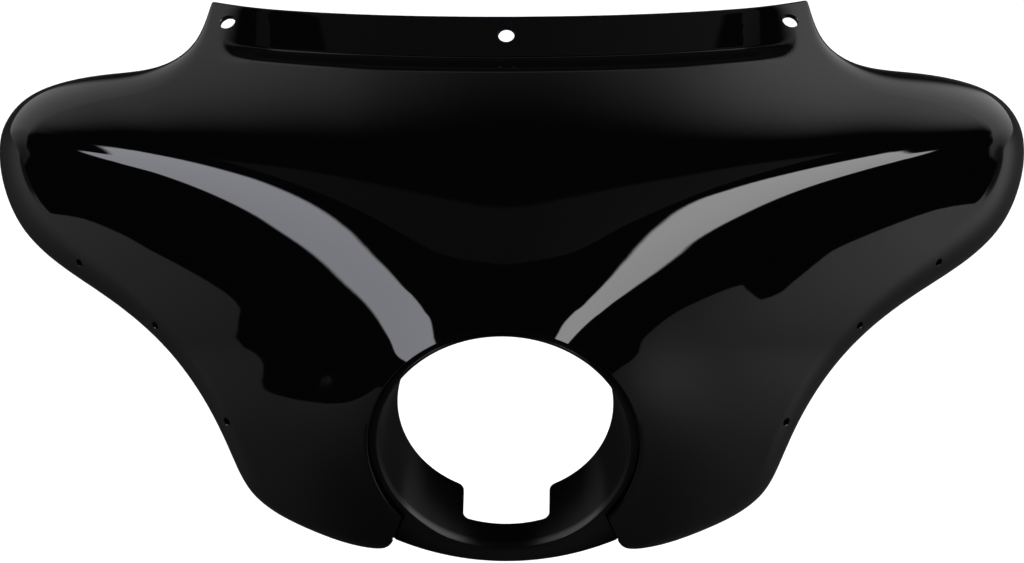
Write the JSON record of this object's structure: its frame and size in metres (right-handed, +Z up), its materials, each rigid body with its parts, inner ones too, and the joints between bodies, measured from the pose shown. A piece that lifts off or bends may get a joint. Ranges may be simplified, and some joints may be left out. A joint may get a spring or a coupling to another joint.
{
  "type": "motorcycle front fairing",
  "caption": "Wide gloss black front fairing for a touring motorcycle, with a round headlamp bucket, a chin and a windscreen flange.",
  "frame": {"origin": "centre of the headlamp seat, half way along its straight land", "axes": "-Y along the headlamp's axis to the front, +Z up, +X across the fairing"},
  "size_m": [0.8442, 0.3387, 0.3627],
  "materials": {
    "gloss_black_skin": "high-gloss black lacquer on a moulded shell",
    "satin_black_bucket": "satin black moulded plastic",
    "brass_insert": "knurled brass, as turned"
  },
  "bodies": {
    "root": {"outer_shell": "gloss_black_skin", "headlight_bucket": "satin_black_bucket", "threaded_inserts": "brass_insert"}
  },
  "joints": []
}
